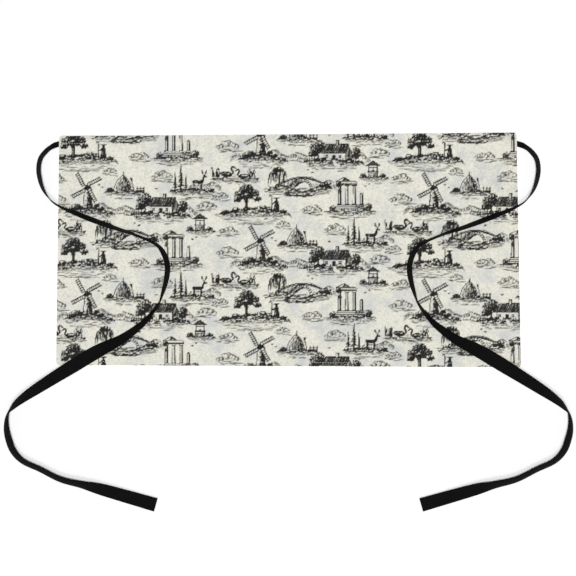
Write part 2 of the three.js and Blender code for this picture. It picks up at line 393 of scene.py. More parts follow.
# %% [markdown]
# ## The two cloths
# Each cloth is a closed skin. Its front is a fine grid, because the print is carried by its points, and its
# back is a coarse one. The back's rim is cut as finely as the front's, so that the two rims have the same
# count and can be bridged. Both grids start as unit squares and are then laid on the heights above.

# %% Cloth meshes
FRONT_COLUMNS = 525
COARSER = 7
BAKE_INNER = 0.97
BAKE_RIM = 0.99
BACK_STRIP = 0.1
BACK_HIGH = 0.08


def rounded(inward, other):
    """Moves a place near a corner, given by its distances from two edges, so that the corner is round."""
    a = np.clip(1 - inward / CORNER_RADIUS, 0, None)
    b = np.clip(1 - other / CORNER_RADIUS, 0, None)
    both = (a > 0) & (b > 0)
    shrink = np.where(both, np.maximum(a, b) / np.maximum(np.hypot(a, b), 1e-9), 1.0)
    return a * (1 - shrink) * CORNER_RADIUS, b * (1 - shrink) * CORNER_RADIUS


def laid_out(u, v, round_top):
    """Place on the table of a share of the way across and up the apron."""
    lower = [lerp(a, b, u) for a, b in zip(LOWER_LEFT, LOWER_RIGHT)]
    waist = [lerp(a, b, u) for a, b in zip(WAIST_LEFT, WAIST_RIGHT)]
    x, y = (lerp(a, b, v) for a, b in zip(lower, waist))
    left, right, low, high, _ = from_edges(x, y)
    for side, sign in ((left, 1), (right, -1)):
        for end, way in ((low, 1), (high, -1)) if round_top else ((low, 1),):
            dx, dy = rounded(np.maximum(side, 0), np.maximum(end, 0))
            x, y = x + sign * dx, y + way * dy
    return x, y


def make_cloth(name, rows, row_share, top, under, round_top):
    bm = bmesh.new()
    front = Matrix.Translation((0, 0, 1))
    bmesh.ops.create_grid(bm, x_segments=FRONT_COLUMNS, y_segments=rows, size=0.5, matrix=front)
    few = {"x_segments": FRONT_COLUMNS // COARSER, "y_segments": rows // COARSER}
    back = bmesh.ops.create_grid(bm, **few, size=0.5)["verts"]
    bmesh.ops.reverse_faces(bm, faces=list({f for v in back for f in v.link_faces}))
    rim = [e for e in {e for v in back for e in v.link_edges} if e.is_boundary]
    bmesh.ops.subdivide_edges(bm, edges=rim, cuts=COARSER - 1, quad_corner_type="FAN")
    bmesh.ops.bridge_loops(bm, edges=[e for e in bm.edges if e.is_boundary])
    bmesh.ops.recalc_face_normals(bm, faces=list(bm.faces))
    piece = finish_mesh(bm, name)

    unit = get_coordinates(piece.data)
    u, v, on_front = unit[:, 0] + 0.5, unit[:, 1] + 0.5, unit[:, 2] > 0.5
    x, y = laid_out(u, row_share(v), round_top)
    set_coordinates(piece.data, np.column_stack([x, y, np.where(on_front, top(x, y), under(x, y))]))

    baked = piece.data.uv_layers.new(name="OFBake")
    index = corner_points(piece.data)
    starts = np.empty(len(piece.data.polygons), int)
    piece.data.polygons.foreach_get("loop_start", starts)
    counts = np.diff(np.append(starts, len(index)))
    fronts = np.add.reduceat(on_front[index].astype(int), starts)
    kind = np.repeat(np.where(fronts == counts, 2, np.where(fronts == 0, 0, 1)), counts)
    centred = np.column_stack([u, v])[index] - 0.5
    big = 0.5 + centred * np.where((kind == 1) & ~on_front[index], BAKE_RIM, BAKE_INNER)[:, None]
    big[:, 1] = BACK_STRIP + (1 - BACK_STRIP) * big[:, 1]
    small = 0.5 + centred * BAKE_INNER
    small[:, 1] = BACK_HIGH * small[:, 1]
    baked.data.foreach_set("uv", np.where((kind == 0)[:, None], small, big).ravel())
    open_edges = len(piece.data.edges) - len(piece.data.vertices) - len(piece.data.polygons) + 2
    print(name, len(piece.data.polygons), "faces; Euler count off by", open_edges)
    return piece


# %% Make the cloths
PANEL_ROWS = 119
PANEL_HIDDEN_ROWS = 22
PANEL_HIDDEN_SHARE = 0.62
POCKET_ROWS = 175


def panel_share(v):
    """The rows are further apart where the pocket hides the panel."""
    return np.interp(v * PANEL_ROWS, (0, PANEL_HIDDEN_ROWS, PANEL_ROWS), (0, PANEL_HIDDEN_SHARE, 1))


def pocket_share(v):
    return v * MOUTH_SHARE


apron_panel = make_cloth("apron_panel_cloth", PANEL_ROWS, panel_share, panel_top, lifted, True)
pocket_panel = make_cloth(
    "pocket_panel_cloth", POCKET_ROWS, pocket_share, pocket_top, pocket_under, False
)
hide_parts("apron_panel")
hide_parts("pocket_panel")

# %% [markdown]
# ## The print: an engraver's plate
# The canvas is printed in black with small country scenes in the manner of old copper plates, a traditional
# kind of furnishing print. No picture file is used. The plate is an array of dots, 0.3 mm apart, on which a
# few drawing tools lay ink in order, back to front. One repeat is 225 by 138 mm, and the next column is
# dropped by half a repeat, as printers do to hide the rows. A tool that crosses the edge of the plate goes
# on at the other.

# %% Plate and its dots
REPEAT_W = 225.0
REPEAT_H = 138.0
DOT = 0.3
plate = np.zeros((round(REPEAT_H / DOT), round(REPEAT_W / DOT)))
DROP = plate.shape[0] // 2
burin_rng = np.random.default_rng(7)
vary, stray = burin_rng.uniform, burin_rng.normal
spot = {"x": 0.0, "y": 0.0, "size": 1.0, "flip": 1.0}


def put(x, y, size=1.0, flip=1.0):
    """Where on the plate, and how large, the next scene is cut."""
    spot.update(x=x, y=y, size=size, flip=flip)


def placed(points):
    return np.array(points, float) * spot["size"] * (spot["flip"], 1.0) + (spot["x"], spot["y"])


def dots(cols, rows):
    """The dots of the plate at any columns and rows of the endless cloth."""
    return (rows + cols // plate.shape[1] * DROP) % plate.shape[0], cols % plate.shape[1]


def patch(points, reach):
    """The dots round some points, and where those dots are in millimetres."""
    low = np.floor((points.min(0) - reach) / DOT).astype(int)
    high = np.ceil((points.max(0) + reach) / DOT).astype(int)
    cols, rows = np.meshgrid(*(np.arange(a, b + 1) for a, b in zip(low, high)))
    return dots(cols, rows), cols * DOT, rows * DOT


def ink(where, depth, tone):
    """Lays ink of a tone, 0 for bare cloth and 1 for black, wherever depth is below zero."""
    plate[where] += np.clip(0.5 - depth / DOT, 0, 1) * (tone - plate[where])


def to_segment(a, b, x, y):
    """Distance to a straight cut, and the share of the way along it."""
    d = b - a
    t = np.clip(((x - a[0]) * d[0] + (y - a[1]) * d[1]) / max(d @ d, 1e-9), 0, 1)
    return np.hypot(x - a[0] - t * d[0], y - a[1] - t * d[1]), t


print("plate of", plate.shape, "dots")

# %% Strokes and fills
OUTLINE_TONE = 0.85
WOBBLE = 0.25


def line(points, width, tone=0.9, taper=0.5):
    """One stroke of the burin: full in its middle and thinner at its ends."""
    p = placed(points)
    width = width * spot["size"]
    where, x, y = patch(p, width)
    depth = np.full(x.shape, np.inf)
    for i, (a, b) in enumerate(zip(p, p[1:])):
        away, t = to_segment(a, b, x, y)
        end = np.abs(2 * (i + t) / (len(p) - 1) - 1)
        depth = np.minimum(depth, away - 0.5 * width * (1 - taper * end**2))
    ink(where, depth, tone)


def inside(p, x, y):
    """Distance to a closed outline, negative inside it."""
    depth = np.full(x.shape, np.inf)
    within = np.zeros(x.shape, bool)
    for a, b in zip(p, np.roll(p, -1, 0)):
        depth = np.minimum(depth, to_segment(a, b, x, y)[0])
        if a[1] != b[1]:
            crosses = (a[1] > y) != (b[1] > y)
            within ^= crosses & (x < a[0] + (y - a[1]) * (b[0] - a[0]) / (b[1] - a[1]))
    return np.where(within, -depth, depth)


def fill(points, tone, outline=0.0):
    p = placed(points)
    where, x, y = patch(p, 1.0)
    depth = inside(p, x, y)
    ink(where, depth, tone)
    if outline:
        ink(where, np.abs(depth) - 0.25 * outline, OUTLINE_TONE)


def blob(points, tone, outline=0.0):
    """A filled shape with a smooth outline."""
    fill(curve(points, closed=True), tone, outline)


def quad(low, high, left, right, *head):
    """Four corners: a level foot, and a head as wide as the foot unless its ends are given."""
    start, end = head or (left, right)
    return [(left, low), (start, high), (end, high), (right, low)]


def placer(x, y, wide, high):
    """Gives a function that moves a small drawing to its place."""
    return lambda points: np.array(points, float) * (wide, high) + (x, y)


def hatch(points, angle, pitch, tone, duty):
    """Parallel cuts inside an outline."""
    p = placed(points)
    where, x, y = patch(p, 0.5)
    turn = math.radians(angle)
    along = x * math.cos(turn) - y * math.sin(turn)
    across = x * math.sin(turn) + y * math.cos(turn)
    across = across + WOBBLE * np.sin(along * 0.9 + across * 0.35)
    cut = np.abs((across / pitch) % 1.0 - 0.5) * pitch - 0.5 * duty * pitch
    ink(where, np.maximum(cut, inside(p, x, y)), tone)


# %% [markdown]
# ## The print: washes
# Between the cut lines a plate has soft greys, bitten through a dust of resin, which engravers call
# aquatint. A wash here fades out across its outline, darkens what is under it, and is mottled by a dust
# that is blurred to grains about 2 mm across.

# %% Washes
GRAIN_DOTS = 3
dust = np.random.default_rng(23).normal(size=plate.shape)
for axis in (0, 1):
    dust = sum(np.roll(dust, shift, axis) for shift in range(-GRAIN_DOTS, GRAIN_DOTS + 1))
dust = dust / dust.std()


def tint(points, tone, soft, mottle=0.3):
    """A soft grey inside an outline."""
    p = placed(points)
    where, x, y = patch(p, soft)
    cover = smoothstep(-inside(p, x, y), -soft, soft)
    plate[where] = 1 - (1 - plate[where]) * (1 - np.clip(tone * cover * (1 + mottle * dust[where]), 0, 1))


def oval(x, y, wide, high):
    turn = np.linspace(0, 2 * math.pi, 16, endpoint=False)
    return np.column_stack([x + wide * np.cos(turn), y + high * np.sin(turn)])


# %% [markdown]
# ## The print: leaves, grass and ground
# Engravers build these from hundreds of short strokes over a wash. The strokes are scattered by a seeded
# generator, so every run cuts the same plate. Light comes from the upper left in all the scenes: there the
# dabs turn pale.

# %% Cuts for growing things
LEAF = 1.5
HAZE_TONE = 0.3


def leaves(*clumps, dark=0.98):
    """Clumps of foliage: dabs over a round grey mass, darkest at its lower right."""
    for x, y, wide, high, count in clumps:
        tint(oval(x, y, 0.9 * wide, 0.9 * high), 0.58 * dark, 0.9)
        tint(oval(x + 0.22 * wide, y - 0.25 * high, 0.6 * wide, 0.6 * high), 0.6 * dark, 0.3 * high)
        for _ in range(count):
            a = vary(0, 2 * math.pi)
            r = math.sqrt(vary(0, 1))
            u, v = r * math.cos(a), r * math.sin(a)
            lit = 0.75 * v - 0.55 * u + stray(0, 0.25)
            tone = dark * float(np.interp(lit, (0.0, 0.35, 0.75), (1.0, 0.7, 0.2)))
            size = LEAF * vary(0.6, 1.25)
            a = a + vary(-0.9, 0.9)
            px, py = x + u * wide, y + v * high
            dx, dy = 0.5 * size * math.cos(a), 0.5 * size * math.sin(a)
            line([(px - dx, py - dy), (px + dx, py + dy)], 0.6 * size, tone, 0.6)


def grass(points, count, high, tone=0.85):
    """Short blades along a ground line."""
    p = curve(points)
    for t in vary(0, len(p) - 1.001, count):
        i = int(t)
        x, y = lerp(p[i], p[i + 1], t - i)
        h = high * vary(0.4, 1.2)
        lean = stray(0, 0.5) * h
        line([(x, y - 0.3), (x + 0.4 * lean, y + 0.6 * h), (x + lean, y + h)], 0.6, tone, 0.7)


def haze(left, right, deep, count):
    """Long pale strokes under a scene, where the ground gives out."""
    for _ in range(count):
        t = vary(-0.08, 0.92)
        x, y = lerp(left, right, t) - (0, deep * vary(0.1, 1.0) * (1 - abs(2 * t - 0.85) ** 3))
        long = vary(5, 13)
        drift = stray(0, 0.5)
        wave = [(x, y), (x + 0.5 * long, y + 0.3 + 0.5 * drift), (x + long, y + drift)]
        line(wave, vary(0.7, 1.3), HAZE_TONE * vary(0.4, 1.3), 0.9)


# %% Hills, ground and water
HILL_TONE = 0.32


def hills(points, deep):
    """Far hills: a pale wash that fades out below a thin crest, with slanting strokes down their sides."""
    p = curve(points)
    for depth in (0.4, 0.8):
        low = p - (0, depth * deep)
        tint([*p, *low[::-1]], 0.5 * HILL_TONE, 0.2 * deep, 0.5)
    line(p, 0.7, 1.5 * HILL_TONE, 0.9)
    for i in burin_rng.integers(1, len(p) - 1, 3 * len(p) // 2):
        a = p[i] - (0, deep * vary(0.05, 0.6))
        line([a, a + (vary(1.0, 2.5), -vary(1.0, 2.5))], 0.6, 1.2 * HILL_TONE, 0.8)


def ground(points, deep, count, tone):
    """Turf below a ground line: a wash that fades out below, and strokes that follow the line."""
    p = curve(points)
    reach = 1 - np.abs(np.linspace(-1, 1, len(p))) ** 3
    for depth in (0.3, 0.6, 0.9):
        low = p - np.column_stack([np.zeros(len(p)), depth * deep * reach])
        tint([*p, *low[::-1]], 0.37 * tone, 0.12 * deep, 0.6)
    haze(p[0], p[-1], 1.2 * deep, count // 4)
    for _ in range(count):
        fall = burin_rng.beta(0.8, 1.9)
        start = vary(0, len(p) - 2)
        i = int(start)
        slope = p[i + 1] - p[i]
        slope = slope / np.linalg.norm(slope) + (0, stray(0, 0.16))
        a = lerp(p[i], p[i + 1], start - i) - (0, deep * fall * reach[i])
        long = vary(2.0, 6.5)
        shade = tone * (1.1 - 0.8 * fall) * vary(0.6, 1.1)
        wide = vary(0.55, 1.2) * (1.2 - 0.5 * fall)
        stroke = [a, a + 0.5 * long * slope + (0, 0.25), a + long * slope]
        line(stroke, wide, min(shade, 0.98) if vary() < 0.85 else 0.06, 0.8)


def ripples(half, low, high, count, tone):
    """Level strokes of still water, in a patch that narrows towards the viewer."""
    for _ in range(count):
        y = vary(low, high)
        reach = half * (0.45 + 0.5 * (y - low) / (high - low))
        x = vary(-reach, reach)
        long = vary(2.5, 9)
        wave = [(x, y), (x + 0.35 * long, y + 0.35), (x + 0.7 * long, y - 0.2), (x + long, y)]
        line(wave, 0.75, tone * vary(0.7, 1.4), 0.7)


# %% Rocks, birds and firs
def rock(x, y, wide, high):
    at = placer(x, y, wide, high)
    shape = [(-0.5, 0), (-0.42, 0.55), (-0.1, 1.0), (0.28, 0.82), (0.5, 0.3), (0.46, 0)]
    fill(at(shape), 0.08, 1.1)
    hatch(at([(0.0, 0), (0.02, 0.85), *shape[3:]]), 55, 1.0, 0.75, 0.5)


def birds(*flock):
    for x, y, span in flock:
        wings = [(-1, 0.55), (-0.45, 0.75), (0, 0), (0.5, 0.7), (1, 0.4)]
        line(placer(x, y, span, span)(wings), 0.75, 0.8, 0.6)


def pine(x, y, high, wide):
    """A fir: drooping tiers, grey on the side of the light and dark on the other."""
    line([(x, y), (x, y + 0.3 * high)], 0.07 * high, 0.95, 0.1)
    for h in np.linspace(0.3, 1.0, 7):
        half = 0.5 * wide * (1.12 - h)
        top, drop = y + high * h, 0.2 * high
        for side, tone in ((-1, 0.62), (1, 0.95)):
            ragged = vary(0.75, 1.1, 3)
            tips = [(1.0, 1.0), (0.62, 0.82), (0.5, 1.02), (0.2, 0.84)]
            reach = side * half
            tier = [(x, top)]
            tier += [(x + reach * a * ragged[0], top - drop * b * ragged[1]) for a, b in tips]
            fill([*tier, (x, top - 0.9 * drop)], tone)
        line([(x - 0.8 * half, top - 0.8 * drop), (x - 0.2 * half, top - 0.4 * drop)], 0.6, 0.2, 0.6)


# %% [markdown]
# ## The print: clouds
# A cloud is a bank of round heads on a level base. Each head is wiped clean first, which hides what is
# behind it, and then gets a soft crescent on the side away from the light and a thin broken outline.

# %% Clouds
CLOUD_TONE = 0.46
HEADS = 8
STREAKS = 14


def puff(x, y, r):
    def arc(radius, start, end, shift=0.0):
        turn = np.radians(np.linspace(start, end, 11))
        return [(x + shift + radius * math.cos(a), y + 0.86 * radius * math.sin(a)) for a in turn]

    fill(arc(r, 0, 327), 0.0)
    crescent = [*arc(r, -75, vary(35, 70)), *arc(r, 50, -75, -0.7 * r)]
    tint(crescent, 0.5 * CLOUD_TONE, 0.3 * r)
    hatch(crescent, vary(20, 50), 1.3, CLOUD_TONE, 0.35)
    line(arc(r, vary(-40, -10), vary(165, 205)), 0.6, CLOUD_TONE, 0.9)


def cloud(x, y, wide):
    heads = []
    for k in range(HEADS):
        t = (k + 0.5) / HEADS - 0.5 + stray(0, 0.02)
        bulk = 1 - 4 * t * t
        r = wide * (0.07 + 0.09 * bulk * vary(0.5, 1.2))
        heads.append((x + wide * t, y + 0.5 * r + 0.2 * wide * bulk * vary(0.2, 1.0), r))
    for head in sorted(heads, key=lambda h: -h[1]):
        puff(*head)
    tint(oval(x, y + 0.07 * wide, 0.56 * wide, 0.14 * wide), 0.36 * CLOUD_TONE, 0.13 * wide)
    for k in range(STREAKS):
        a = x + wide * vary(-0.68, 0.35)
        b = a + wide * vary(0.15, 0.5)
        h = y - 0.03 * wide - 0.3 * k
        line([(a, h), (0.5 * (a + b), h - 0.25), (b, h)], 0.6, CLOUD_TONE * vary(0.6, 1.2), 0.8)


# %% [markdown]
# ## The print: windmill and cottage
# Each scene is a function that draws round its own foot, in millimetres, so that it can be set down
# anywhere.

# %% Windmill
def windmill():
    mound = [(-34, 3), (-22, 7), (-8, 11.5), (4, 12.5), (17, 10), (30, 4.5), (38, 2)]
    hills([(-46, 6), (-37, 12.5), (-29, 11), (-19, 16), (-8, 13)], 9)
    hills([(10, 15), (22, 18), (31, 12), (42, 8)], 9)
    blob([*mound[:-1], (12, 2), (-10, 1)], 0.12)
    ground(mound, 13, 260, 0.95)
    fill(quad(11, 38, -7, 7.4, -4.6, 4.6), 0.06, 1.2)
    tint(quad(11, 38, -1, 7.4, -0.5, 4.6), 0.5, 1.2)
    tint(quad(11, 38, 2.6, 7.4, 2.2, 4.6), 0.65, 1.0)
    hatch(quad(11, 38, 0.5, 7.4, 0.6, 4.6), 12, 1.6, 0.9, 0.4)
    for y in np.arange(13, 37, 2.6):
        for x in vary(-5.4, 0.5, 2):
            line([(x, y), (x + 1.9, y + 0.1)], 0.6, 0.55, 0.5)
    fill([(-1.8, 11), (-1.8, 16.5), (-0.6, 17.6), (0.8, 16.5), (0.8, 11)], 0.97)
    for low, high in ((24, 27), (32, 34)):
        fill(quad(low, high, -1.6, 0.2), 0.95)
    blob([(-6.2, 37.5), (-5, 42), (-0.5, 45.8), (4.4, 43), (6.2, 37.5), (0, 36.8)], 0.92)
    line([(-4, 41), (-1.5, 44)], 0.6, 0.3)
    hub = np.array([-2.2, 41.0])
    for k in range(4):
        a = math.radians(28 + 90 * k)
        u = np.array([math.cos(a), math.sin(a)])
        v = np.array([-math.sin(a), math.cos(a)])
        fill([hub + 4 * u, hub + 25 * u, hub + 25 * u + 5 * v, hub + 4 * u + 5 * v], 0.3)
        for s in np.arange(4, 25.1, 3.5):
            line([hub + s * u, hub + s * u + 5 * v], 0.7, 0.8, 0)
        line([hub + 4 * u + 5 * v, hub + 25 * u + 5 * v], 0.7, 0.85, 0)
        line([hub, hub + 26.5 * u], 1.3, 0.97, 0.2)
    leaves((-15, 11.5, 6.5, 4.6, 70), (-22, 8, 5, 3.4, 46))
    leaves((13.5, 12.5, 5, 4.2, 60), (20, 9, 5.5, 3.2, 46))
    grass(mound, 60, 2.6)
    rock(25, 3.4, 6, 3.6)
    rock(31, 2.6, 5, 2.6)
    for x in (-31, -27.5, -24):
        foot = 4.2 + 0.35 * (x + 31)
        line([(x, foot), (x, foot + 5.2)], 0.9, 0.9, 0.2)
    line([(-32, 7.4), (-23, 10.4)], 0.7, 0.85, 0.2)
    birds((17, 44, 2.2), (22.5, 40.5, 1.7))


# %% Cottage
def cottage():
    base = [(-40, 2), (-26, 4.4), (-8, 5.2), (10, 5), (26, 4), (40, 1.6)]
    hills([(-48, 6), (-40, 12), (-33, 10), (-24, 14)], 8)
    hills([(22, 12), (32, 17), (40, 11), (48, 5)], 9)
    ground(base, 10, 240, 0.9)
    leaves((-21, 22, 10.5, 9.5, 230), (-27, 14, 6.5, 5.5, 90))
    line([(-21, 4), (-20.4, 10), (-21.4, 17)], 2.2, 0.95, 0.2)
    fill(quad(4.5, 15, -13, 15), 0.05, 1.0)
    gable = [(15, 4.5), (15, 15), (19.5, 22.5), (24, 14.6), (24, 4.5)]
    fill(gable, 0.3, 1.0)
    hatch(gable, 20, 1.15, 0.85, 0.55)
    fill([(-16, 14), (-10.5, 25.5), (18.6, 25.8), (19.6, 23), (15.6, 14)], 0.45, 1.0)
    for x in np.arange(-15, 16, 0.95):
        lean = 0.42 + stray(0, 0.05)
        thatch = [(x, 14.2 + vary(0, 1.2)), (x + lean * 6, 20), (x + lean * 10.5, 25.2)]
        line(thatch, 0.75, vary(0.75, 0.98), 0.4)
    line([(-15.5, 14), (15.6, 13.8)], 1.1, 0.95, 0.2)
    fill(quad(24, 30.5, 3, 6.6), 0.25, 1.0)
    hatch(quad(24, 30.5, 4.8, 6.6), 0, 1.0, 0.9, 0.6)
    for x in (-9.5, 8):
        fill(quad(7.6, 11.4, x - 1.6, x + 1.6), 0.95)
        line([(x, 7.6), (x, 11.4)], 0.45, 0.05, 0)
        line([(x - 1.6, 9.5), (x + 1.6, 9.5)], 0.45, 0.05, 0)
    fill([(-2.2, 4.6), (-2.2, 11), (0, 12.1), (2.2, 11), (2.2, 4.6)], 0.93)
    for k in range(8):
        x, y = -12.5 + 3.2 * k, 5.6 + 0.8 * (k % 3)
        line([(x, y), (x + 1.5, y)], 0.5, 0.5)
    leaves((28.5, 14, 6.2, 8.4, 130))
    line([(28.5, 3.4), (28.8, 8)], 1.7, 0.95, 0.2)
    leaves((-13, 6.5, 3.2, 2.3, 30), (19, 6, 3.4, 2.2, 30))
    for x in np.arange(-38, -15, 3.2):
        foot = 1.6 + 0.06 * (x + 38)
        line([(x, foot), (x, foot + 5.4)], 0.85, 0.9, 0.2)
    for y in (3.7, 5.6):
        line([(-39, y), (-15, y + 1.3)], 0.65, 0.85, 0.1)
    blob([(-2, 4.6), (2, 4.6), (4, 1), (9, -3.5), (1.5, -3.5), (-0.5, 1)], 0.0)
    grass(base, 60, 2.3)
    birds((-6, 36, 1.9))


# %% [markdown]
# ## The print: bridge and oak
# The bridge has one stone arch with a willow at its end, and the oak stands on a long knoll with sheep and
# a small dark figure with a crook.

# %% Bridge
def bridge():
    hills([(-46, 8), (-36, 15), (-26, 12), (-12, 19), (4, 17.5)], 9)
    tint(oval(0, -1, 27, 6), 0.25, 3)
    ripples(32, -7, 4, 120, 0.7)
    banks = [[(-40, 4), (-30, 6), (-19, 4)], [(17, 4.5), (28, 6.5), (42, 3.5)]]
    for bank in banks:
        ground(bank, 8, 115, 0.9)
    deck = curve([(-33, 7.5), (-18, 14), (0, 17.6), (18, 14), (34, 7)])

    def round_arch(radius, start, end, count, tall=1.0):
        turn = np.linspace(start, end, count)
        return [(radius * math.cos(a), 2.5 + tall * radius * math.sin(a)) for a in turn]

    arch = round_arch(11.5, 0, math.pi, 15)
    fill([*deck, (30, 3.5), (11.5, 2.5), *arch, (-11.5, 2.5), (-30, 3.5)], 0.1, 1.2)
    hatch([(11.5, 2.5), *arch[:8], (0, 17.5), (18, 14), (34, 7), (30, 3.5)], 15, 1.2, 0.75, 0.5)
    inner = round_arch(11.6, 0.1, math.pi - 0.1, 13)
    outer = round_arch(14.2, 0.1, math.pi - 0.1, 13, 0.986)
    for joint in zip(inner, outer):
        line(joint, 0.75, 0.9, 0)
    line(round_arch(14.2, 0.05, math.pi - 0.05, 15, 0.986), 0.6, 0.85, 0.1)
    line(deck + (0, 1.3), 1.0, 0.92, 0.2)
    line(deck + (0, -0.6), 0.6, 0.8, 0.2)
    for y, half in ((5, 26), (7.4, 26), (9.8, 21)):
        for x in np.arange(-half, half, 4.2):
            if math.hypot(x, y - 2.5) > 14.6:
                line([(x, y), (x + 2.6, y)], 0.5, 0.6, 0.3)
    hatch([*round_arch(10.8, 0.15, 1.9, 10), (2, 10), (7, 6)], 5, 1.0, 0.92, 0.7)
    line([(30, 6), (29, 15), (30.5, 22)], 2.4, 0.96, 0.3)
    tint(oval(30.3, 20, 9.5, 9), 0.4, 2.0)
    for _ in range(60):
        a = vary(-1, 1)
        x, y = 30.3 + 10 * a, 31 - 8 * a * a + stray(0, 0.7)
        drop = vary(5, 17)
        sway = x + stray(0.8, 0.9)
        frond = [(30.3 + 3 * a, 26), (x, y), (sway + 1.2 * a, y - 0.5 * drop), (sway + 1.6 * a, y - drop)]
        line(curve(frond), 0.9, burin_rng.choice([0.97, 0.75, 0.4]), 0.8)
    leaves((30, 28.5, 7.5, 3.4, 60), (-33, 9, 6, 4.2, 70), (-26.5, 7.5, 4, 3, 36))
    for bank in banks:
        grass(bank, 32, 2.6)
    rock(-17, 1.6, 5.4, 3.2)
    rock(16.5, 1.6, 5, 3)
    birds((-14, 24, 2), (-8.5, 27.5, 1.5))


# %% Oak, sheep and figure
def sheep(x, y, size, way=1):
    at = placer(x, y, way * size, size)
    for leg in (-2.1, -1.2, 1.4, 2.2):
        line(at([(leg, 1.6), (leg, 0)]), 0.75 * size, 0.95, 0.1)
    fleece = [(-3.1, 1.6), (-3.3, 3.4), (-1.6, 4.5), (0.6, 4.3), (2.6, 4.4)]
    fleece += [(3.2, 2.7), (2.4, 1.4), (0, 1.1)]
    blob(at(fleece), 0.05, 1.2)
    hatch(at([(-3, 1.6), (-2, 2.6), (1, 2.4), (3.1, 2.9), (2.4, 1.4), (0, 1.1)]), 30, 0.95, 0.7, 0.5)
    blob(at([(3.0, 3.6), (3.5, 4.9), (4.6, 4.6), (5.4, 3.4), (4.7, 2.9)]), 0.93)


def figure(x, y, size):
    """A small dark figure in a cloak and a flat hat, with a crook."""
    at = placer(x, y, size, size)
    fill(at([(-3, 0), (-1.7, 8.4), (-1.2, 10.2), (1.1, 10.2), (1.9, 8.2), (3, 0)]), 0.97)
    line(at([(-1.2, 0.6), (-0.7, 7)]), 0.6, 0.45)
    for foot in (-0.9, 1.2):
        line(at([(foot, 0), (foot, -1.6)]), 1.0 * size, 0.95, 0)
    blob(at([(-1, 10.4), (-1.1, 12), (0, 12.9), (1.1, 12), (1, 10.4)]), 0.95)
    line(at([(-2.6, 12.2), (2.6, 12.4)]), 0.95 * size, 0.97, 0.3)
    line(at([(-1.4, 9), (-3.4, 6.8), (-4.7, 7.6)]), 1.2 * size, 0.95, 0.3)
    line(curve(at([(-4.9, -1.4), (-4.7, 7), (-4.6, 13.4), (-5.6, 15), (-6.8, 14)])), 0.75 * size, 0.95, 0.1)


def oak():
    knoll = [(-48, 1), (-34, 5), (-18, 7.5), (-2, 9.2), (14, 8.6), (30, 5.4), (44, 2)]
    ground(knoll, 12, 330, 0.95)
    trunk = [(-15.5, 6), (-13.6, 11), (-13.6, 17), (-15.6, 22), (-11.6, 21)]
    trunk += [(-10, 24), (-9.2, 19), (-9.6, 12)]
    blob([*trunk, (-6.6, 7)], 0.93)
    line([(-12.6, 8), (-12, 14), (-12.6, 20)], 0.55, 0.25)
    for a, b in (((-12, 19), (-20, 26)), ((-11, 20), (-3, 27)), ((-11, 20), (-11, 29))):
        line([a, (0.5 * (a[0] + b[0]) - 0.6, 0.5 * (a[1] + b[1]) + 0.6), b], 1.7, 0.95, 0.6)
    crown = [(-19, 27, 9, 6.5, 150), (-4, 27.5, 9, 6.8, 150), (-12, 34, 9.5, 7, 170), (-23, 21, 5.5, 4, 60)]
    bushes = [(2.5, 21.5, 5, 3.6, 54), (-12, 25, 6, 4, 60), (36, 5, 5, 2.6, 46), (-39, 4.6, 5, 3, 50)]
    leaves(*crown, *bushes)
    sheep(8.5, 8.2, 1.0)
    sheep(17.5, 6.9, 0.92, -1)
    sheep(-26.5, 6.2, 0.85)
    figure(27.5, 6.0, 1.35)
    grass(knoll, 90, 2.4)
    rock(2, 5.8, 5, 2.6)
    birds((14, 30, 2.2), (20, 33.5, 1.6), (24, 28.5, 1.6))


# %% [markdown]
# ## The print: ruin and pond
# The ruin is cut lighter than the rest, so that the cloth has grey scenes between its dark ones. The swans
# are plain dark shapes on pale water, because a finer drawing would not be read at this size.

# %% Ruin
def ruin():
    base = [(-32, 1.5), (-18, 3.6), (0, 4.4), (18, 3.4), (31, 1.5)]
    ground(base, 9, 170, 0.62)
    for half, y in ((21, 4), (19.4, 6.2), (17.8, 8.4)):
        fill(quad(y, y + 2.2, -half, half), 0.08, 0.9)
        tint(quad(y, y + 2.2, 0.2 * half, half, 0.35 * half, half), 0.5, 1.0)
    for x, top in ((-14.5, 35), (-5, 35), (4.5, 35), (14, 24.5)):
        fill(quad(10.6, top, x - 1.9, x + 1.9, x - 1.6, x + 1.6), 0.04, 0.9)
        tint(quad(10.6, top, x + 0.2, x + 1.9, x + 0.2, x + 1.6), 0.7, 0.7)
        fill(quad(10.4, 12, x - 2.6, x + 2.6, x - 2.4, x + 2.4), 0.2, 0.9)
        if top > 30:
            fill(quad(top, top + 1.8, x - 2.5, x + 2.5, x - 2.9, x + 2.9), 0.25, 0.9)
    line([(12.4, 24.5), (13.4, 26), (14.4, 24.8), (15.4, 26.2)], 0.8, 0.75, 0.2)
    fill([(-18.6, 36.8), (-18.6, 41.2), (6, 41.2), (8.4, 39.4), (7.6, 36.8)], 0.08, 1.0)
    tint(quad(37, 39, -18, 7), 0.5, 0.7)
    fill([(-19.6, 41.2), (-8.6, 46.6), (-3, 43.6), (-1, 41.2)], 0.15, 1.0)
    tint([(-12, 41.6), (-8.6, 46), (-3, 43.4), (-1, 41.4)], 0.5, 1.0)
    ivy = [(-16, 38, 3.2, 4.4, 44), (-14.6, 29, 2.2, 5, 34)]
    leaves(*ivy, (22.5, 8, 5.4, 5, 70), (-24, 6.4, 4.6, 3.6, 46), dark=0.75)
    fill([(9, 3.2), (10, 6.6), (16, 5.6), (15, 2.2)], 0.1, 1.0)
    hatch([(12.5, 3), (13, 6.1), (16, 5.6), (15, 2.2)], 60, 1.0, 0.6, 0.5)
    grass(base, 46, 2.0, 0.65)
    birds((19, 34, 1.8), (24, 37, 1.4))


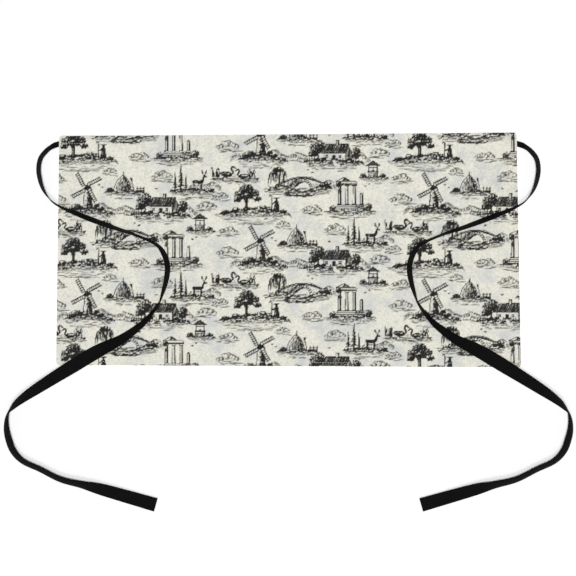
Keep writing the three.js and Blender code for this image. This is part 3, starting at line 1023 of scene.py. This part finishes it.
# %% Pond
def swan(x, y, size, way):
    at = placer(x, y, way * size, size)
    blob(at([(-8, 3.4), (-5, 5.2), (-1, 5.4), (3.6, 4.4), (5.2, 1.6), (2, 0), (-4, 0.1)]), 0.85, 0.9)
    line(curve(at([(-6.6, 3.2), (-2, 3.8), (2.4, 2.8)])), 0.9, 0.25, 0.5)
    neck = curve(at([(4, 2), (6.4, 4.6), (4.8, 7.6), (5.2, 10.4), (7.2, 11), (8.4, 9.6)]))
    line(neck, 2.1 * size, 0.92, 0.3)
    line(at([(8.2, 9.8), (10.2, 8.6)]), 1.2 * size, 0.95, 0.6)
    for k in range(5):
        line([(x - 6 + 2 * k, y - 0.8 - 0.5 * k), (x + 1 + 1.6 * k, y - 0.9 - 0.5 * k)], 0.55, 0.7, 0.8)


def pond():
    tint(oval(0, 1, 29, 6), 0.22, 3)
    ripples(28, -7, 2, 60, 0.45)
    swan(-9, 3.5, 1.25, 1)
    swan(12, 1.5, 1.05, -1)
    for bank, count in ((-24, 16), (24, 18)):
        for _ in range(count):
            x = bank + stray(0, 2.6)
            h = vary(7, 15)
            lean = stray(0, 1.8)
            line(curve([(x, 1), (x + 0.3 * lean, 0.6 * h), (x + lean, h)]), 0.8, 0.88, 0.6)
            if vary() < 0.3:
                line([(x + lean, h - 0.6), (x + 1.1 * lean, h + 2.0)], 1.4, 0.92, 0.4)
        ground([(bank - 8, 0.3), (bank, 2), (bank + 8, 0.3)], 4, 54, 0.85)


# %% [markdown]
# ## The print: haystack, stag and well
# Three small scenes fill the gaps between the large ones.

# %% Haystack
def haystack():
    base = [(-27, 1.4), (-12, 3), (4, 3.4), (18, 2.4), (28, 1.2)]
    ground(base, 8, 150, 0.85)
    outline = [(-12, 2.6), (-12.6, 9), (-9, 17), (-3, 23.5), (-1, 24.6)]
    outline += [(1.2, 23), (7, 16), (10, 8), (9.4, 2.6)]
    blob(outline, 0.12, 1.0)
    tint([(0, 3), (-0.5, 23), (1.2, 22.5), (6.6, 16), (9.6, 8), (9, 3)], 0.55, 2.5)
    tint([(-9, 3), (-7, 15), (-1, 22), (3, 3)], 0.3, 2.5)
    for _ in range(150):
        t = vary(-1, 1)
        h = vary(3.5, 22)
        x = -1.2 + t * 11.4 * (1 - ((h - 2) / 23.5) ** 1.6)
        tone = 0.92 if t > vary(-0.3, 0.9) else vary(0.2, 0.6)
        line([(x, h), (x + 0.25 * t, h - 1.8), (x + 0.55 * t, h - 3.4)], 0.62, tone, 0.6)
    line([(-1, 22), (-0.6, 29)], 0.9, 0.95, 0.2)
    line([(14, 2), (10.6, 17)], 0.85, 0.95, 0.1)
    for tine in (-1.2, 0, 1.2):
        line([(10.6 + 0.4 * tine, 16.4), (10.2 + tine, 20.4)], 0.65, 0.95, 0.2)
    for x in (18, 22.5, 27):
        line([(x, 1.4), (x + 0.3, 8.2)], 1.1, 0.92, 0.1)
    for y in (4, 6.6):
        line([(16.6, y), (28.6, y - 0.6)], 0.8, 0.88, 0.1)
    leaves((-19, 4.6, 4.8, 3.2, 50))
    grass(base, 50, 2.3)


# %% Stag
def stag():
    base = [(-28, 1), (-14, 3.4), (2, 4.2), (16, 3.2), (28, 1)]
    hills([(-4, 8), (8, 11), (18, 9.5), (28, 14), (38, 7)], 8)
    ground(base, 9, 220, 0.9)
    for fir in ((-14, 3, 34, 15), (-21.5, 2.4, 24, 11), (-7.5, 3.2, 21, 9)):
        pine(*fir)
    for x in (2.2, 3.8, 11.4, 13.0):
        line([(x, 12.5), (x + 0.5, 8.4), (x, 3.6)], 1.0, 0.96, 0.2)
    body = [(1.2, 12), (1.6, 15.2), (6, 15.6), (11, 15.4), (14.6, 16.6)]
    body += [(15.6, 13.6), (13.4, 11.4), (7, 11.2)]
    neck = [(13, 14), (14.6, 19.6), (16, 21.4), (17, 20.4), (16.4, 17.6), (15.8, 13.8)]
    head = [(15.2, 20.4), (16, 22.2), (18, 21.8), (20.2, 20.2), (19.6, 19.4), (17, 19.4)]
    for part in (body, neck, head):
        blob(part, 0.92)
    for side in (-1, 1):
        line(curve([(16.2, 22), (16.4 + 1.6 * side, 24.6), (16.2 + 2.6 * side, 28.4)]), 0.8, 0.96, 0.4)
        for k in (24.4, 26.2):
            line([(16.3 + 1.7 * side, k), (16.3 + 3.6 * side, k + 2.2)], 0.7, 0.94, 0.4)
    line([(3.5, 14.6), (8, 14.9), (12, 14.8)], 0.5, 0.35)
    line([(4, 13.2), (7, 13.3)], 0.5, 0.4)
    grass(base, 54, 2.4)
    rock(21, 1.8, 6, 3.4)
    leaves((25.5, 3.2, 4, 2.6, 40))


# %% Well
def well():
    base = [(-19, 0.8), (-8, 2.4), (6, 2.6), (19, 0.8)]
    ground(base, 7, 120, 0.75)
    fill(quad(2, 8.6, -6.5, 6.5), 0.06, 1.0)
    hatch(quad(2, 8.6, 1, 6.5), 90, 1.05, 0.7, 0.5)
    for course, y in enumerate((2.6, 4.6, 6.6)):
        line([(-6.5, y + 1.6), (6.5, y + 1.6)], 0.5, 0.65, 0)
        for x in np.arange(-5.6 + 1.3 * (course % 2), 6.4, 2.7):
            line([(x, y - 0.3), (x, y + 1.5)], 0.5, 0.65, 0)
    fill(quad(8.4, 9.8, -7.2, 7.2), 0.3, 1.0)
    for x in (-5.6, 5.6):
        line([(x, 9.6), (x, 18.4)], 1.2, 0.93, 0)
    line([(-5.6, 15.2), (5.6, 15.2)], 0.8, 0.9, 0)
    line([(0, 15.2), (0.2, 11.6)], 0.5, 0.85, 0)
    fill([(-1.2, 11.6), (-0.9, 9.4), (1.2, 9.4), (1.5, 11.6)], 0.9)
    roof = [(-9.6, 17.6), (0, 24.4), (9.6, 17.6)]
    fill(roof, 0.4, 1.0)
    hatch(roof, 42, 1.15, 0.88, 0.6)
    leaves((-13.5, 4.6, 4, 3.4, 50), (13, 4, 4.4, 2.8, 46), dark=0.85)
    grass(base, 34, 2.1, 0.75)


# %% [markdown]
# ## The print: setting out the repeat
# The scenes are set out so that each lies in a gap between its neighbours, also across the edges of
# the plate, where the neighbour is half a repeat higher.

# %% Cut the plate
SCENES = [
    (oak, 50, 9, 1.0, 1),
    (ruin, 174, 12, 1.0, 1),
    (bridge, 110, 40, 1.0, -1),
    (pond, 22, 56, 0.95, 1),
    (windmill, 57, 79, 0.86, 1),
    (cottage, 152, 76, 1.0, 1),
    (haystack, 104, 107, 0.95, 1),
    (stag, 192, 108, 1.0, 1),
    (well, 203, 57, 0.95, 1),
]
CLOUDS = [(124, 14, 25), (14, 96, 28), (105, 84, 20), (14, 124, 24)]
CLOUDS += [(154, 126, 26), (212, 88, 24), (86, 134, 16), (4, 32, 20)]
for draw, x, y, size, flip in SCENES:
    put(x, y, size, flip)
    draw()
put(0, 0)
for x, y, wide in CLOUDS:
    cloud(x, y, wide)
print("ink covers", round(100 * float(plate.mean()), 1), "% of the plate")

# %% [markdown]
# ## The print: onto the cloth
# Each point of a front takes the mean of the dots round it, and some of its difference from the wider
# surroundings, which keeps the cuts crisp at the spacing of the points. Wet ink spreads in cotton, so each
# tone comes out darker than it was cut, which printers call dot gain. The backs stay bare.

# %% Transfer
PRINT_ORIGIN = (-318.0, -171.0)
NEAR = np.linspace(-0.3, 0.3, 3)
WIDE = np.linspace(-1.8, 1.8, 5)
CRISP = 1.5
DOT_GAIN = 2.1


def mean_ink(x, y, offsets):
    """Mean darkness of the plate over a square of offsets round each place."""
    total = np.zeros(x.shape)
    for dx in offsets:
        for dy in offsets:
            cols = np.rint((x + dx - PRINT_ORIGIN[0]) / DOT).astype(int)
            rows = np.rint((y + dy - PRINT_ORIGIN[1]) / DOT).astype(int)
            total += plate[dots(cols, rows)]
    return total / len(offsets) ** 2


def print_on(cloth):
    points = get_coordinates(cloth.data) / MM
    x, y, _ = points.T
    near = mean_ink(x, y, NEAR)
    tone = 1 - (1 - np.clip(near + CRISP * (near - mean_ink(x, y, WIDE)), 0, 1)) ** DOT_GAIN
    normals = np.empty(3 * len(points))
    cloth.data.vertex_normals.foreach_get("vector", normals)
    tone = np.where(normals[2::3] > 0, tone, 0)
    cloth.data.attributes.new("ink", "FLOAT", "POINT").data.foreach_set("value", tone)
    print(cloth.name, "mean ink", round(float(tone.mean()), 3))


for cloth in (apron_panel, pocket_panel):
    print_on(cloth)

# %% [markdown]
# ## The stitching
# Cream thread holds the hems, the pocket's sides and lower edge, its mouth and the two seams that divide
# it. A dashed texture would be flat from the side, so each stitch is a small closed bead that lies on the
# cloth.

# %% Stitches
STITCH_PITCH = 3.4
STITCH_LONG = 2.5
STITCH_THICK = 0.46
STITCH_UP = 0.06
STITCH_STRAY = 0.04
SLOPE_REACH = 1.0
thread_rng = np.random.default_rng(11)


def sew(name, rows, height):
    """A piece of straight rows of stitches, each between two places, at the height of the cloth."""
    bead = (0.5 * STITCH_LONG, 0.5 * STITCH_THICK, 0.4 * STITCH_THICK)
    shape = Matrix.Diagonal((*(s * MM for s in bead), 1))
    whole = bmesh.new()
    for start, end in np.array(rows, float):
        span = end - start
        long = np.hypot(*span)
        way = math.atan2(span[1], span[0])
        row = bmesh.new()
        for s in np.arange(0.5 * STITCH_PITCH, long, STITCH_PITCH):
            x, y = start + span * s / long
            reaches = (SLOPE_REACH, -SLOPE_REACH)
            ahead, behind = (height(x + d * span[0] / long, y + d * span[1] / long) for d in reaches)
            tilt = math.atan2(float(ahead - behind), 2 * SLOPE_REACH)
            place = Matrix.Translation(Vector((x, y, float(height(x, y)) + STITCH_UP)) * MM)
            turn = Matrix.Rotation(way + thread_rng.normal(0, STITCH_STRAY), 4, "Z")
            turn = turn @ Matrix.Rotation(-tilt, 4, "Y")
            pose = place @ turn @ shape
            bmesh.ops.create_uvsphere(row, u_segments=6, v_segments=4, radius=1, matrix=pose)
        one_row = bpy.data.meshes.new("row")
        row.to_mesh(one_row)
        row.free()
        whole.from_mesh(one_row)
        bpy.data.meshes.remove(one_row)
    piece = finish_mesh(whole, name)
    print(name, len(piece.data.polygons), "faces")
    return piece


# %% Rows of stitches
SEAM_INSET = 5.0
DEPTH = 300.0
ABOVE_MOUTH = MOUTH_SHARE + 0.012
UNDER_MOUTH = MOUTH_SHARE - 0.006
UNDER_WAIST = 0.985
ALONG_LOWER = SEAM_INSET / DEPTH
ALONG_MOUTH = MOUTH_SHARE - MOUTH_SEAM / DEPTH
SIDES = ((LOWER_LEFT, WAIST_LEFT, 1), (LOWER_RIGHT, WAIST_RIGHT, -1))


def on_waist(end, inset):
    x = end[0] + inset
    across = (x - LOWER_LEFT[0]) / (LOWER_RIGHT[0] - LOWER_LEFT[0])
    return x, lerp(WAIST_LEFT[1], WAIST_RIGHT[1], across) - HEM_SEAM


def on_side(side, up, inset):
    low, high, inward = side
    return lerp(low[0], high[0], up) + inward * inset, lerp(low[1], high[1], up)


def level(up, inset=SEAM_INSET):
    """A row from side to side, at a share of the way up."""
    return [on_side(side, up, inset) for side in SIDES]


hem_rows = [[on_waist(WAIST_LEFT, SEAM_INSET), on_waist(WAIST_RIGHT, -SEAM_INSET)]]
hem_rows += [[on_side(side, up, HEM_SEAM) for up in (ABOVE_MOUTH, UNDER_WAIST)] for side in SIDES]
panel_stitches = sew("panel_stitches", hem_rows, panel_top)

seam_ends = (ALONG_LOWER, UNDER_MOUTH)
seam_rows = [level(ALONG_MOUTH), level(ALONG_LOWER)]
seam_rows += [[on_side(side, up, SEAM_INSET) for up in seam_ends] for side in SIDES]
for divider in range(1, POCKETS):
    seam_rows.append([lerp(*np.array(level(up, 0)), divider / POCKETS) for up in seam_ends])
pocket_stitches = sew("pocket_stitches", seam_rows, pocket_top)

# %% [markdown]

# %% [markdown]
# ## Materials
# Hex colours are what an eye or a paint card gives, and Blender works in linear light, so one function
# turns one into the other. Another adds a node with its settings and its links, and the last ends a
# material and puts it on its pieces.

# %% Material helpers
WAVE_PERIOD = 2 * math.pi / 20
# Sockets of a Mix node that mixes colours.
MIX_SHARE = 0
MIX_FROM = 6
MIX_TO = 7
MIX_OUT = 2


def linear(code):
    """An sRGB hex colour as linear RGBA."""
    parts = [int(code[i : i + 2], 16) / 255 for i in (1, 3, 5)]
    return (*(p / 12.92 if p <= 0.04045 else ((p + 0.055) / 1.055) ** 2.4 for p in parts), 1.0)


def bands(pitch):
    """Scale of a wave texture whose bands are that many millimetres apart."""
    return WAVE_PERIOD / (pitch * MM)


def add(material, kind, inputs=None, out=0, **settings):
    """Adds a node: inputs are values or the sockets that feed it. Returns one of its outputs."""
    tree = material.node_tree
    made = tree.nodes.new("ShaderNode" + kind)
    for key, value in settings.items():
        setattr(made, key, value)
    for socket, value in (inputs or {}).items():
        if isinstance(value, bpy.types.NodeSocket):
            tree.links.new(value, made.inputs[socket])
        else:
            made.inputs[socket].default_value = value
    return made.outputs[out] if made.outputs else None


def new_material(name):
    material = bpy.data.materials.new(name)
    material.use_nodes = True
    material.node_tree.nodes.clear()
    return material


def dress(pieces, material, surface):
    """Ends a material with its surface and puts it on the pieces."""
    shader = add(material, "BsdfPrincipled", surface)
    add(material, "OutputMaterial", {"Surface": shader})
    for piece in pieces:
        piece.data.materials.append(material)
    print(material.name, len(material.node_tree.nodes), "nodes")


# %% [markdown]
# ## Printed canvas
# Plain-woven cotton canvas, unbleached to a warm cream and printed in black. The weave is matt with hardly
# any shine. The real threads are about 0.6 mm apart, too fine for the picture, so they are drawn at 1.3 mm.
# The ink takes unevenly, and a thin blue-grey wash shows in cloudy patches.

# %% Canvas material
THREAD = 1.3
SPECK = 1.6
CLOUDY = 38
FLECK = 2.8
canvas = new_material("cotton_canvas_printed")
place = add(canvas, "TexCoord", out="Object")
wave = {"Vector": place, "Scale": bands(THREAD), "Distortion": 0.6, "Detail": 1.0}
warp, weft = (add(canvas, "TexWave", wave, "Fac", bands_direction=way) for way in "XY")
weave = add(canvas, "Math", {0: warp, 1: weft}, operation="MAXIMUM")
ink_here = add(canvas, "Attribute", out="Fac", attribute_name="ink")
ink_edge = add(canvas, "MapRange", {"Value": ink_here, "From Min": 0.01, "From Max": 0.95})
speck = add(canvas, "TexNoise", {"Vector": place, "Scale": 1 / (SPECK * MM), "Detail": 2.0})
taken = {"Value": speck, "From Min": 0.3, "From Max": 0.7, "To Min": 0.95, "To Max": 1.0}
ink_share = add(canvas, "Math", {0: ink_edge, 1: add(canvas, "MapRange", taken)}, operation="MULTIPLY")
patches = {"Vector": place, "Scale": 1 / (CLOUDY * MM), "Detail": 8.0, "Roughness": 0.75}
flecks = {"Vector": place, "Scale": 1 / (FLECK * MM), "Detail": 6.0, "Roughness": 0.8}
wash, fleck = (
    add(canvas, "MapRange", {"Value": add(canvas, "TexNoise", noise), "From Min": 0.46, "From Max": 0.74})
    for noise in (patches, flecks)
)
layers = [(weave, "#EBE9DB"), (fleck, "#B1B1A8"), (wash, "#B9BFC5"), (ink_share, "#0D0C0E")]
colour = linear("#E0DDD0")
for share, tone in layers:
    laid_on = {MIX_SHARE: share, MIX_FROM: colour, MIX_TO: linear(tone)}
    colour = add(canvas, "Mix", laid_on, MIX_OUT, data_type="RGBA")
bump = add(canvas, "Bump", {"Height": weave, "Strength": 0.25, "Distance": 0.12 * MM})
matt = {"Roughness": 0.88, "IOR": 1.47, "Specular IOR Level": 0.1, "Sheen Weight": 0.03}
dress([apron_panel, pocket_panel], canvas, {"Base Color": colour, "Normal": bump, **matt})

# %% [markdown]
# ## Black tape
# Ribbed tape of black cotton, woven with a thick weft, so that ribs run across it. A highlight is painted
# along the ribs' backs, and lint makes some patches paler. Ribs 0.9 mm apart are drawn at 1.4 mm to show.

# %% Tape material
RIB = 1.4
LINT = 9
tape = new_material("cotton_tape_ribbed")
laid = add(tape, "UVMap", uv_map="along_across")
wave = {"Vector": laid, "Scale": bands(RIB), "Distortion": 0.4, "Detail": 1.0}
rib_and_highlight = add(tape, "TexWave", wave, "Fac", bands_direction="X")
place = add(tape, "TexCoord", out="Object")
lint = add(tape, "TexNoise", {"Vector": place, "Scale": 1 / (LINT * MM), "Detail": 4.0})
worn = add(tape, "MapRange", {"Value": lint, "From Min": 0.45, "From Max": 0.8, "To Max": 0.35})
colour = linear("#070708")
# The ribs' share lays a painted highlight along their backs; the second share is paler lint.
for share, tone in ((rib_and_highlight, "#0F0F10"), (worn, "#161617")):
    laid_on = {MIX_SHARE: share, MIX_FROM: colour, MIX_TO: linear(tone)}
    colour = add(tape, "Mix", laid_on, MIX_OUT, data_type="RGBA")
bump = add(tape, "Bump", {"Height": rib_and_highlight, "Strength": 0.5, "Distance": 0.25 * MM})
matt = {"Roughness": 0.85, "Specular IOR Level": 0.08}
dress(ties, tape, {"Base Color": colour, "Normal": bump, **matt})

# %% [markdown]
# ## Sewing thread
# Spun polyester in the cream of the cloth, two plies twisted together, which shows as fine slanting bands.

# %% Thread material
PLY = 0.5
thread = new_material("polyester_thread_cream")
wave = {"Vector": add(thread, "TexCoord", out="Object"), "Scale": bands(PLY)}
ply = add(thread, "TexWave", wave, "Fac", bands_direction="DIAGONAL")
tones = {MIX_SHARE: ply, MIX_FROM: linear("#CFCCBF"), MIX_TO: linear("#E6E3D8")}
colour = add(thread, "Mix", tones, MIX_OUT, data_type="RGBA")
spun = {"Base Color": colour, "Roughness": 0.6, "Sheen Weight": 0.1}
dress([panel_stitches, pocket_stitches], thread, spun)

# %% [markdown]
# ## Table and light
# The picture has a clean white ground, and only a thin pale shade on the upper side of each tie. So one
# lamp is nearly straight overhead, a weak one leans in from the lower edge and casts that shade, and the
# surround is a faint white.

# %% Stage
FLOOR_SIZE = 6.0
TABLE_GAP = 0.04
PAINT_GRAIN = 60
table = bmesh.new()
drop = Matrix.Translation((0, 0, -TABLE_GAP * MM))
bmesh.ops.create_grid(table, x_segments=1, y_segments=1, size=FLOOR_SIZE / 2, matrix=drop)
floor = to_object(table, "table_top")
paint = new_material("matt_white_paint")
place = add(paint, "TexCoord", out="Object")
grain = add(paint, "TexNoise", {"Vector": place, "Scale": 1 / (PAINT_GRAIN * MM), "Detail": 3.0})
tones = {MIX_SHARE: grain, MIX_FROM: linear("#FAFAFA"), MIX_TO: linear("#FDFDFD")}
colour = add(paint, "Mix", tones, MIX_OUT, data_type="RGBA")
dress([floor], paint, {"Base Color": colour, "Roughness": 0.9, "Specular IOR Level": 0.1})

# %% Light
SURROUND = 0.10
# Name, strength, and width and lean in degrees.
LAMPS = [("overhead_soft_box", 0.76, 8.0, 1.5), ("low_soft_box", 0.20, 10.0, 18.0)]
scene = bpy.context.scene
scene.view_settings.view_transform = "Standard"
world = bpy.data.worlds.new("studio")
world.use_nodes = True
scene.world = world
surround = world.node_tree.nodes["Background"]
surround.inputs["Color"].default_value = (1, 1, 1, 1)
surround.inputs["Strength"].default_value = SURROUND
for name, strength, width, lean in LAMPS:
    lamp = bpy.data.objects.new(name, bpy.data.lights.new(name, "SUN"))
    lamp.data.energy = math.pi * strength
    lamp.data.angle = math.radians(width)
    lamp.rotation_euler = (math.radians(lean), 0, 0)
    bpy.context.collection.objects.link(lamp)
print("surround", SURROUND, "and", len(LAMPS), "lamps")
